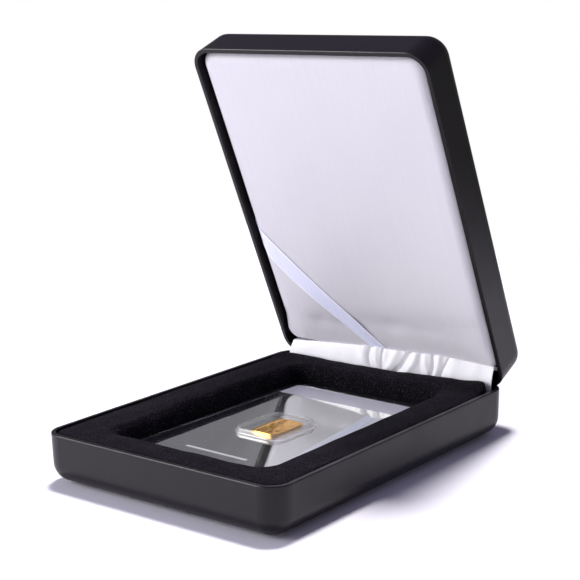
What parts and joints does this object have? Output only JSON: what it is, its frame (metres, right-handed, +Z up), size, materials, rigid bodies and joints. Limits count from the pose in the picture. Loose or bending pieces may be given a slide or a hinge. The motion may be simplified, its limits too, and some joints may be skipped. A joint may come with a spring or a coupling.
{
  "type": "gold bar presentation case",
  "caption": "Flat leatherette case with a sprung hinged lid lined in padded satin, and a velvet insert whose recess holds a clear card with a small gold bar.",
  "frame": {"origin": "on the table, under the middle of the base's outline", "axes": "+Z up, +Y from the front of the case to its hinge, +X to the right along the hinge; the lid stands open"},
  "size_m": [0.09, 0.1324, 0.1301],
  "materials": {
    "leatherette_black": "matte",
    "sheet_steel": "satin",
    "hinge_steel": "satin",
    "spring_steel": "satin",
    "board_grey": "matte",
    "foam_white": "matte",
    "velvet_black": "matte",
    "felt_black": "matte",
    "satin_white": "satin",
    "ribbon_white": "satin",
    "clear_sheet": "gloss",
    "silver_card": "polished",
    "gold": "polished"
  },
  "bodies": {
    "base": {"bottom_pad": "felt_black", "base_cover": "leatherette_black", "base_shell": "sheet_steel", "insert_riser": "board_grey", "insert_board": "board_grey", "insert_foam": "foam_white", "velvet_border": "velvet_black", "velvet_floor": "velvet_black", "hinge_base_leaf": "hinge_steel", "hinge_pin": "hinge_steel", "hinge_base_rivets": "hinge_steel", "hinge_spring_left": "spring_steel", "hinge_spring_right": "spring_steel", "hinge_strip": "satin_white"},
    "lid": {"lid_cover": "leatherette_black", "lid_shell": "sheet_steel", "lid_spacer": "board_grey", "lid_board": "board_grey", "lid_foam": "foam_white", "lid_satin": "satin_white", "lid_ribbon": "ribbon_white", "hinge_lid_leaf": "hinge_steel", "hinge_lid_rivets": "hinge_steel"},
    "card": {"card_back_sheet": "clear_sheet", "card_print": "silver_card", "gold_bar": "gold", "card_front": "clear_sheet"}
  },
  "joints": [
    {"name": "lid_hinge", "type": "hinge", "parent": "base", "child": "lid", "pos_m": [0, 0.05889, 0.01615], "axis": [1, 0, 0], "range_deg": [0, 66.6]},
    {"name": "card_lift", "type": "slide", "parent": "base", "child": "card", "axis": [0, 0, 1], "range_m": [0, 0.004]}
  ]
}
